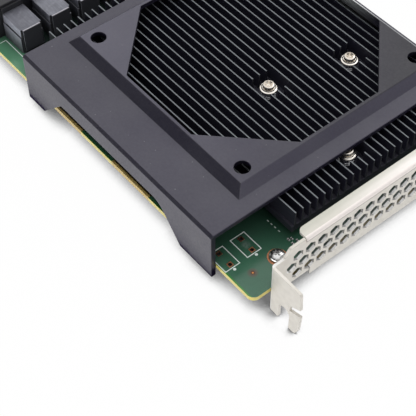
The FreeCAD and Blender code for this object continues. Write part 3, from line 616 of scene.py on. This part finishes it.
def bracket_steel():
    """Plated sheet, with painted light and shade on the lip, a painted highlight on its bend, painted shade
    in its crease, and paler punched vent walls.
    """
    f = Finish("bracket_steel", metallic=SHEET_METALLIC)
    f.mottle(SHEET["dark"], SHEET["light"], size=2)
    # Painted shade on the near end and the rear of the lip, painted light on its far end.
    flat = f.along("Z", LIP_FLAT_Z)
    f.paint(flat, SHEET["lip_near_shade"], f.along("Y", LIP_NEAR_Y, 0.6, 0))
    f.paint(flat, SHEET["lip_back_shade"], f.along("X", LIP_BACK_X, 0.75, 0))
    far = f.times(f.along("Y", LIP_FAR_Y, 0, 0.8), f.along("X", LIP_FRONT_X, 0.3, 1))
    f.paint(flat, SHEET["lip_far_light"], far)

    # Painted highlight along the bend, painted shade in the crease.
    lip = f.between("Y", LIP_SPAN_Y, SHEET_SOFT)
    bend = f.times(f.along("Z", (LIP_BEND_Z, LIP_BEND_Z + LIP_BEND_RISE), 0, 0.8), f.rest(flat))
    f.paint(bend, SHEET["bend"], lip)
    from_bend = f.math("ABSOLUTE", f.math("SUBTRACT", f.axis("Z"), (LIP_BEND_Z - ORIGIN.z) * MM))
    crease = f.span(from_bend, 0.65, 0, *[reach * MM for reach in CREASE_REACH])
    f.paint(crease, SHEET["crease"], lip)

    # Punched walls: pale as bare cut steel and with painted light, with painted shade deep in them and on the
    # sides that face away.
    walls = f.span(f.facing("X"), 1, 0, 0.3, 0.6)
    punched = f.times(walls, f.along("Z", PUNCHED_TOP_Z, 1, 0), f.along("X", PUNCHED_OUT_X, 1, 0))
    f.paint(punched, SHEET["punched"])
    f.paint(punched, SHEET["punched_deep_shade"], f.along("X", PUNCHED_DEEP_X, 0.7, 0))
    away = f.most(f.towards(*VENT_SIDE), f.towards(*VENT_FOOT))
    vents = f.between("Y", VENT_SPAN_Y, SHEET_SOFT)
    f.paint(f.times(away, vents, punched), SHEET["punched_shaded"], share=0.7)

    soft, edge = f.rounding(radius=0.12)
    f.paint(edge, SHEET["edge"], f.vary(0, 0.4, size=0.5))
    relief = f.bump(f.noise(size=0.35, detail=2), depth=0.012, normal=soft)
    plating = f.span(punched, SHEET_METALLIC, 0, 0, 1)
    return f.dress(f.vary(0.40, 0.52, size=1, detail=6), relief, metallic=plating)


WARM = {"dark": (0.76, 0.71, 0.64), "light": (0.92, 0.88, 0.82), "crown": (0.46, 0.39, 0.31)}
CROWN_DROP = (0.22, 0.06)


def warm_nickel():
    """Bright plating of the spring screws, with a painted brown reflection on the crowns of their heads."""
    f = Finish("warm_nickel", metallic=1.0)
    f.mottle(WARM["dark"], WARM["light"], size=2)
    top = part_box("heat_sink_screws")[1].z
    # Painted brown reflection on the crowns.
    f.paint(f.span(f.axis("Z"), 0, 0.75, *[top - drop * MM for drop in CROWN_DROP]), WARM["crown"])
    soft, edge = f.rounding(radius=0.15)
    f.paint(edge, POLISHED, f.span(f.noise(size=0.5), 0, 0.5, *WORN_RANGE))
    relief = f.bump(f.noise(size=0.2, detail=2), depth=0.002, normal=soft)
    return f.dress(f.vary(0.18, 0.28, size=1, detail=6), relief)


METALS = {
    "screw_nickel": dict(dark=(0.56, 0.56, 0.56), light=(0.80, 0.80, 0.79), rough=(0.16, 0.36), patch=0.7,
                         grain=0.2),
    "spring_steel": dict(dark=(0.60, 0.61, 0.63), light=(0.74, 0.75, 0.77), rough=(0.20, 0.32), patch=0.6,
                         grain=0.1, depth=0.004),
    "lid_nickel": dict(dark=(0.52, 0.52, 0.54), light=(0.62, 0.62, 0.63), rough=(0.30, 0.42)),
    "plate_steel": dict(dark=(0.50, 0.50, 0.52), light=(0.62, 0.62, 0.63), rough=(0.32, 0.48), patch=5.0,
                        grain=0.4, depth=0.012),
}
PLAINS = {
    "chip_substrate": dict(dark=(0.06, 0.15, 0.09), light=(0.08, 0.19, 0.11), rough=(0.35, 0.5)),
    "pad_grey": dict(dark=(0.40, 0.41, 0.43), light=(0.48, 0.49, 0.51), rough=(0.7, 0.85), depth=0.03),
    "film_black": dict(dark=(0.020, 0.020, 0.022), light=(0.032, 0.032, 0.034), rough=(0.35, 0.5)),
    "port_plastic": dict(dark=(0.014, 0.014, 0.017), light=(0.022, 0.022, 0.026), rough=(0.36, 0.5),
                         wear=(0.12, 0.12, 0.13), worn=0.6),
    "chip_black": dict(dark=(0.022, 0.022, 0.024), light=(0.034, 0.034, 0.036), rough=(0.5, 0.65),
                       wear=(0.14, 0.14, 0.15), depth=0.02),
    "ferrite": dict(dark=(0.12, 0.12, 0.13), light=(0.18, 0.18, 0.19), rough=(0.5, 0.7), patch=1.0,
                    depth=0.04, wear=(0.34, 0.34, 0.35)),
    "capacitor_case": dict(dark=(0.070, 0.062, 0.055), light=(0.100, 0.090, 0.080), rough=(0.45, 0.6),
                           wear=(0.3, 0.29, 0.27)),
    "ceramic_tan": dict(dark=(0.42, 0.30, 0.20), light=(0.56, 0.43, 0.31), rough=(0.4, 0.55), patch=0.6,
                        grain=0.1),
    "resistor_black": dict(dark=(0.03, 0.03, 0.032), light=(0.05, 0.05, 0.052), rough=(0.25, 0.4), patch=0.5,
                           grain=0.1),
    "led_clear": dict(dark=(0.66, 0.66, 0.56), light=(0.82, 0.82, 0.72), rough=(0.15, 0.3), patch=0.6,
                      grain=0.1),
}
FINISHES = {
    "shroud_plastic": shroud_plastic(),
    "black_anodised": black_anodised(),
    "solder_mask": solder_mask(),
    "gold": gold(),
    "tinned_copper": pad_copper(),
    "bracket_steel": bracket_steel(),
    "shell_nickel": shell_nickel(),
}
FINISHES.update({slot: metal(slot, **look) for slot, look in METALS.items()})
FINISHES.update({slot: plain(slot, **look) for slot, look in PLAINS.items()})
SILK = plain("silk_ink", dark=(0.86, 0.97, 0.92), light=(0.92, 1.0, 0.96), rough=(0.55, 0.7), patch=0.7,
             grain=0.12, depth=0.002, radius=0.01)
WARM_NICKEL = warm_nickel()
# Near black, as painted shade in the holes.
SHADED_BARREL = plain("shaded_barrel_copper", dark=(0.010, 0.005, 0.004), light=(0.020, 0.009, 0.007), rough=(0.6, 0.75),
               patch=0.5, grain=0.1, Specular_IOR_Level=0.1)
TIN = plain("end_tin", dark=(0.84, 0.84, 0.84), light=(0.94, 0.94, 0.93), rough=(0.3, 0.45), metallic=0.2,
            patch=0.5, grain=0.12, depth=0.004)

for entry in frame["record"]["subparts"]:
    node = frame["nodes"][entry["node"]]
    node.data.materials.clear()
    node.data.materials.append(FINISHES[entry["material_slot"]])


def solids(node):
    """Low and high corner of each separate solid in a node."""
    bm = bmesh.new()
    bm.from_mesh(frame["nodes"][node].data)
    bmesh.ops.remove_doubles(bm, verts=bm.verts, dist=WELD)
    left = set(bm.verts)
    found = []
    while left:
        seen = {left.pop()}
        queue = list(seen)
        while queue:
            here = queue.pop()
            fresh = {e.other_vert(here) for e in here.link_edges} & left
            left -= fresh
            seen |= fresh
            queue.extend(fresh)
        low = Vector([min(v.co[i] for v in seen) for i in range(3)])
        high = Vector([max(v.co[i] for v in seen) for i in range(3)])
        found.append((low, high))
    bm.free()
    return sorted(found, key=lambda box: tuple(box[0]))


def axis_at(low, high, z):
    """A place at height z on the upright axis of a solid's box."""
    return Vector(((low.x + high.x) / 2, (low.y + high.y) / 2, z))


def to_object(bm, name, *materials):
    """A named object from a built mesh, with its faces turned outwards."""
    bmesh.ops.recalc_face_normals(bm, faces=bm.faces)
    mesh = bpy.data.meshes.new(name)
    bm.to_mesh(mesh)
    bm.free()
    for material in materials:
        mesh.materials.append(material)
    obj = bpy.data.objects.new(name, mesh)
    bpy.context.scene.collection.objects.link(obj)
    return obj


def keep(obj, slot, *nodes):
    """A finished piece: it rides on the card, and stands for the nodes named."""
    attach(obj, "root")
    if nodes:
        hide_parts(*nodes)


def smooth_below(obj, degrees):
    """Smooth shading that stays sharp at edges above an angle."""
    bm = bmesh.new()
    bm.from_mesh(obj.data)
    for face in bm.faces:
        face.smooth = True
    for edge in bm.edges:
        edge.smooth = len(edge.link_faces) == 2 and edge.calc_face_angle(0) < math.radians(degrees)
    bm.to_mesh(obj.data)
    bm.free()


def lathe(bm, profile, centre, sides=40):
    """Turned form about an upright axis, from (radius, height) in millimetres."""
    turns = [2 * math.pi * k / sides for k in range(sides)]
    rings = []
    for r, z in profile:
        if r == 0:
            rings.append([bm.verts.new(centre + Vector((0, 0, z)) * MM)] * sides)
            continue
        points = [Vector((r * math.cos(a), r * math.sin(a), z)) for a in turns]
        rings.append([bm.verts.new(centre + point * MM) for point in points])
    for low, high in zip(rings, rings[1:]):
        for k in range(sides):
            corners = [low[k], low[(k + 1) % sides], high[(k + 1) % sides], high[k]]
            bm.faces.new(list(dict.fromkeys(corners)))


def wedge(bm, centre, length, width, taper, depth, proud=0.02):
    """Tapered bar of a cross recess that goes down from its centre."""
    corners = []
    for z, a, b in ((proud, length, width), (-depth, length * taper, width * taper)):
        for sx, sy in ((-1, -1), (1, -1), (1, 1), (-1, 1)):
            corners.append(bm.verts.new(centre + Vector((sx * a / 2, sy * b / 2, z)) * MM))
    low, high = corners[4:], corners[:4]
    bm.faces.new(low)
    bm.faces.new(high)
    for k in range(4):
        bm.faces.new((low[k], low[(k + 1) % 4], high[(k + 1) % 4], high[k]))


def cut(obj, cutters):
    """Takes the cutters' forms out of a mesh."""
    for cutter in cutters:
        step = obj.modifiers.new("cut", "BOOLEAN")
        step.object = cutter
        step.solver = "EXACT"
        bpy.context.view_layer.update()
        result = bpy.data.meshes.new_from_object(obj.evaluated_get(bpy.context.evaluated_depsgraph_get()))
        obj.modifiers.clear()
        obj.data = result
        bpy.data.objects.remove(cutter)


def arc(r, z, radius, start, stop, steps=5):
    """Points of a rounded corner about (r, z)."""
    turns = [math.radians(start + (stop - start) * k / steps) for k in range(steps + 1)]
    return [(r + radius * math.cos(a), z + radius * math.sin(a)) for a in turns]


def thread(radius, z0, z1, pitch=0.5, depth=0.16):
    """Crests and roots of a thread, as rings."""
    rings = []
    for k in range(int((z1 - z0) / pitch)):
        rings += [(radius - depth, z0 + (k + 0.25) * pitch), (radius, z0 + (k + 0.75) * pitch)]
    return rings


RECESS_TAPER = 0.5
SCREW_SHARP_ANGLE = 32
# Recesses by length, width and depth; screws by radius and height below the crown.
SPRING_RECESS = (2.6, 0.95, 0.8)
SPRING_SCREW = [(0, -14.9), (0.75, -14.9), (1.0, -14.7)]
SPRING_SCREW += thread(1.2, -14.6, -11.0) + [(1.2, -10.9), (1.2, -2.4)]
SPRING_SCREW += arc(2.73, -2.28, 0.12, -90, 0) + arc(2.70, -1.98, 0.13, 0, 90)
SPRING_SCREW += [(2.46, -1.84), (2.32, -1.76), (2.20, -1.60), (2.14, -1.42), (1.62, -1.38), (1.62, -1.14)]
SPRING_SCREW += [(1.90, -1.08), (2.0, -0.98), (2.0, -0.62), (1.97, -0.46), (1.88, -0.31), (1.70, -0.18)]
SPRING_SCREW += [(1.40, -0.08), (1.0, -0.03), (0, 0)]
PAN_RECESS = (2.2, 0.55, 0.8)
PAN_R = 2.5
PAN_DOME = 1.45
PAN_SCREW = [(0, -4.77), (1.0, -4.77), (1.25, -4.55)]
PAN_SCREW += thread(1.45, -4.45, -1.95) + [(1.45, -1.9), (2.42, -1.9)]
PAN_SCREW += arc(2.4, -1.72, 0.1, -60, 0) + [(PAN_R, -PAN_DOME)]
PAN_TURNS = [math.radians(k) for k in range(9, 90, 9)]
PAN_SCREW += [(PAN_R * math.cos(a), -PAN_DOME + PAN_DOME * math.sin(a)) for a in PAN_TURNS]
PAN_SCREW += [(0, 0)]


def screws(name, node, profile, recess, material):
    """Turned screws with cross recesses of a length, width and depth, one on each solid of a node."""
    length, width, depth = recess
    bodies = bmesh.new()
    blades = [bmesh.new(), bmesh.new()]
    for low, high in solids(node):
        top = axis_at(low, high, high.z)
        lathe(bodies, profile, top)
        wedge(blades[0], top, length, width, RECESS_TAPER, depth)
        wedge(blades[1], top, width, length, RECESS_TAPER, depth)
    obj = to_object(bodies, name, material)
    cut(obj, [to_object(blade, f"recess{i}") for i, blade in enumerate(blades)])
    smooth_below(obj, SCREW_SHARP_ANGLE)
    keep(obj, "screw_nickel", node)


WIRE_R = 0.30
WIRE_SIDES = 8
SPRING_TURNS = 4.0
STEPS_A_TURN = 28
SPRING_END_SHARE = 0.12
SPRING_CLEARANCE = 0.02
SPRING_SHARP_ANGLE = 50


def coil_springs():
    """Round-wire springs with closed end turns."""
    bm = bmesh.new()
    count = int(SPRING_TURNS * STEPS_A_TURN)
    spin = [2 * math.pi * k / WIRE_SIDES for k in range(WIRE_SIDES)]
    for low, high in solids("heat_sink_springs"):
        radius = (high.x - low.x) / (2 * MM) - WIRE_R - SPRING_CLEARANCE
        rise = (high.z - low.z) / MM - 2 * (WIRE_R + SPRING_CLEARANCE)
        centre = axis_at(low, high, low.z + (WIRE_R + SPRING_CLEARANCE) * MM)
        loops = []
        for i in range(count + 1):
            t = i / count
            climb = min(1, max(0, (t - SPRING_END_SHARE) / (1 - 2 * SPRING_END_SHARE)))
            a = 2 * math.pi * SPRING_TURNS * t
            out = Vector((math.cos(a), math.sin(a), 0))
            hub = centre + (out * radius + Vector((0, 0, rise * climb))) * MM
            rim = [out * math.cos(s) + Vector((0, 0, math.sin(s))) for s in spin]
            loops.append([bm.verts.new(hub + way * WIRE_R * MM) for way in rim])
        for first, second in zip(loops, loops[1:]):
            for k in range(WIRE_SIDES):
                after = (k + 1) % WIRE_SIDES
                bm.faces.new((first[k], first[after], second[after], second[k]))
        bm.faces.new(loops[0])
        bm.faces.new(loops[-1])
    obj = to_object(bm, "coil_springs", FINISHES["spring_steel"])
    smooth_below(obj, SPRING_SHARP_ANGLE)
    keep(obj, "spring_steel", "heat_sink_springs")


def bar(bm, low, high, slot=0, ease=0.0):
    """Box between two corners, with eased edges."""
    made = bmesh.ops.create_cube(bm, size=1)["verts"]
    for v in made:
        v.co = Vector([(a + b) / 2 + (b - a) * c for a, b, c in zip(low, high, v.co)])
    edges = list(dict.fromkeys(e for v in made for e in v.link_edges))
    for v in made:
        for face in v.link_faces:
            face.material_index = slot
    if ease:
        bmesh.ops.bevel(bm, geom=edges, offset=ease * MM, segments=2, affect="EDGES", profile=0.6)


CAP_EASE = 0.05
CAP_LAP = 0.9
BODY_INSET = Vector((0, 0.03, 0.03)) * MM
BRACKET_SIDE_RESISTORS = ((-9.6, 21.9), (-9.3, 22.9), (-7.75, 21.9), (-7.7, 23.7))
RESISTOR_HALF = (0.5, 0.28)
RESISTOR_T = 0.4
RESISTOR_CAP = 0.36


def end_capped(bm, low, high, cap=0.24):
    """Chip part along X: a body and two tinned ends that wrap round it."""
    length = high.x - low.x
    inset = BODY_INSET + Vector((length * cap * CAP_LAP, 0, 0))
    bar(bm, low + inset, high - inset, 0)
    bar(bm, low, Vector((low.x + length * cap, high.y, high.z)), 1, CAP_EASE)
    bar(bm, Vector((high.x - length * cap, low.y, low.z)), high, 1, CAP_EASE)


def passives():
    """Chip capacitors and resistors with tinned ends."""
    for node, slot in (("small_capacitors", "ceramic_tan"), ("small_resistors", "resistor_black"),
                       ("solder_side_capacitors", "ceramic_tan")):
        bm = bmesh.new()
        for low, high in solids(node):
            end_capped(bm, low, high)
        keep(to_object(bm, f"{node}_tinned", FINISHES[slot], TIN), slot, node)
    bm = bmesh.new()
    half_x, half_y = RESISTOR_HALF
    for x, y in BRACKET_SIDE_RESISTORS:
        low = at(x - half_x, y - half_y, 0)
        high = at(x + half_x, y + half_y, RESISTOR_T)
        end_capped(bm, low, high, RESISTOR_CAP)
    keep(to_object(bm, "bracket_side_resistors", FINISHES["resistor_black"], TIN), "resistor_black")


FINE_SIDES = 24
BARREL_OUT_R, BARREL_IN_R = 0.59, 0.5
BARREL_LINING = [(BARREL_OUT_R, -BOARD_T), (BARREL_OUT_R, 0), (0.52, 0), (BARREL_IN_R, -0.05)]
BARREL_LINING += [(BARREL_IN_R, -BOARD_T), (BARREL_OUT_R, -BOARD_T)]


def hole_barrels():
    """Plated linings of the empty two-pin places, near black as painted shade."""
    bm = bmesh.new()
    for low, high in solids("plated_pads"):
        side = (high.x - low.x) / MM
        if abs(side - TWO_PIN_PAD) < PAD_TOLERANCE:
            lathe(bm, BARREL_LINING, axis_at(low, high, low.z), FINE_SIDES)
    bmesh.ops.remove_doubles(bm, verts=bm.verts, dist=WELD)
    keep(to_object(bm, "hole_barrels", SHADED_BARREL), "tinned_copper")


INK_T = 0.025
INK_LINE = 0.30
OUTLINE_X = (-20.3, -12.4)
OUTLINES_Y = ((8.4, 13.65), (0.1, 5.4))
DOTS = ((-11.6, 11.1), (-11.6, 2.8))
DOT_R = 0.48
DASHES_X = (-18.9, -17.3, -15.7, -13.9)
DASHES_Y = 21.9
DASH_HALF = 0.22
REAR_LINE_X, REAR_LINE_Y = (-135.3, -124.2), 4.45
REAR_STUB_Y = (2.3, 4.1)


def silk_marks():
    """Printed outlines, dots and dashes on the component face."""
    bm = bmesh.new()

    def stroke(x0, y0, x1, y1):
        half = INK_LINE / 2
        bar(bm, at(x0 - half, y0 - half, 0), at(x1 + half, y1 + half, INK_T))

    x0, x1 = OUTLINE_X
    for y0, y1 in OUTLINES_Y:
        stroke(x0, y0, x1, y0)
        stroke(x0, y1, x1, y1)
        stroke(x1, y0 + INK_LINE, x1, y1 - INK_LINE)
        stroke(x0, y0 + INK_LINE, x0, y1 - INK_LINE)
    for x, y in DOTS:
        lathe(bm, [(0, 0), (DOT_R, 0), (DOT_R, INK_T), (0, INK_T)], at(x, y, 0), FINE_SIDES)
    for x in DASHES_X:
        stroke(x - DASH_HALF, DASHES_Y, x + DASH_HALF, DASHES_Y)
    stroke(REAR_LINE_X[0], REAR_LINE_Y, REAR_LINE_X[1], REAR_LINE_Y)
    stroke(REAR_LINE_X[0], REAR_STUB_Y[0], REAR_LINE_X[0], REAR_STUB_Y[1])
    keep(to_object(bm, "silk_marks", SILK), "solder_mask")


screws("spring_screws", "heat_sink_screws", SPRING_SCREW, SPRING_RECESS, WARM_NICKEL)
screws("pan_screws", "bracket_screws", PAN_SCREW, PAN_RECESS, FINISHES["screw_nickel"])
coil_springs()
passives()
hole_barrels()
silk_marks()

FLOOR_PROFILE = [(0, 0), (3200, 0), (3500, 40), (3750, 160), (3900, 400), (4000, 1000)]
FLOOR_SIDES = 96
FLOOR_COLOUR = (0.93, 0.93, 0.93)
FLOOR_WHITE_SHARE = 0.985
SHADE_REACH = 0.010
SHADE_OPEN = (0.50, 0.75)
SHADE_DEPTH = 0.10


def floor_white():
    """Pale ground that is seen and mirrored as white, and darkens close to the card in a painted shadow."""
    material = bpy.data.materials.new("floor")
    tree = Tree(material)
    tree.nodes.clear()
    rays = tree.nodes.new("ShaderNodeLightPath").outputs
    shade = tree.span(tree.open_air(SHADE_REACH, 16), SHADE_DEPTH, 1, *SHADE_OPEN)
    white = tree.add("ShaderNodeEmission", Strength=tree.most(shade, rays["Is Glossy Ray"]))
    seen = tree.most(rays["Is Camera Ray"], rays["Is Glossy Ray"], rays["Is Transmission Ray"])
    ground = tree.add("ShaderNodeBsdfDiffuse", Color=FLOOR_COLOUR)
    mix = tree.nodes.new("ShaderNodeMixShader")
    for socket, value in zip(mix.inputs, (tree.times(seen, FLOOR_WHITE_SHARE), ground, white)):
        tree.feed(socket, value)
    tree.feed(tree.nodes.new("ShaderNodeOutputMaterial").inputs["Surface"], mix.outputs[0])
    return material


def floor():
    """Wide floor with a raised rim."""
    bm = bmesh.new()
    lathe(bm, FLOOR_PROFILE, Vector((0, 0, 0)), FLOOR_SIDES)
    obj = to_object(bm, "floor", floor_white())
    obj.location.z = cad_box[0][2]


OVERHEAD = (-0.15, 0.45, 0.88)
SKY_RANGE = (0.15, 0.78)
SKY_LEVELS = (0.07, 1.56)


def world():
    """Dim studio surround that grows lighter overhead."""
    surround = bpy.data.worlds.new("studio")
    bpy.context.scene.world = surround
    tree = Tree(surround)
    tree.nodes.clear()
    upward = tree.vector("DOT_PRODUCT", tree.add("ShaderNodeTexCoord", output="Generated"), OVERHEAD)
    level = tree.span(upward, *SKY_LEVELS, *SKY_RANGE, settings={"interpolation_type": "SMOOTHSTEP"})
    light = tree.add("ShaderNodeBackground", Strength=level)
    tree.feed(tree.nodes.new("ShaderNodeOutputWorld").inputs["Surface"], light)


def lamp(name, place, aim, width, height, power):
    """Oblong lamp at a place, turned to its aim."""
    light = bpy.data.lights.new(name, "AREA")
    light.shape = "RECTANGLE"
    light.size = width
    light.size_y = height
    light.energy = power
    obj = bpy.data.objects.new(name, light)
    bpy.context.scene.collection.objects.link(obj)
    obj.location = place
    obj.rotation_euler = (Vector(aim) - Vector(place)).to_track_quat("-Z", "Y").to_euler()


CAMERA_AT = (137.569, -125.195, 272.684)
CAMERA_TURN = (38.80196, 0.56480, 50.83183)
SENSOR_WIDTH = 36
FOCAL_LENGTH = 100.374
NEAREST = 0.01


def camera():
    """View from above the bracket end, along the card."""
    lens = bpy.data.cameras.new("camera")
    lens.sensor_width = SENSOR_WIDTH
    lens.lens = FOCAL_LENGTH
    lens.clip_start = NEAREST
    obj = bpy.data.objects.new("camera", lens)
    bpy.context.scene.collection.objects.link(obj)
    obj.location = at(*CAMERA_AT)
    obj.rotation_euler = [math.radians(a) for a in CAMERA_TURN]
    bpy.context.scene.camera = obj


floor()
world()
middle = (cad_box[0] + cad_box[1]) / 2
lamp("key", place=(-0.1, 0.95, 0.95), aim=middle, width=0.3, height=0.3, power=1.6)
lamp("fill", place=(0.15, -1.3, 0.09), aim=middle, width=1.2, height=0.16, power=4.4)
camera()
bpy.context.scene.view_settings.view_transform = "Standard"
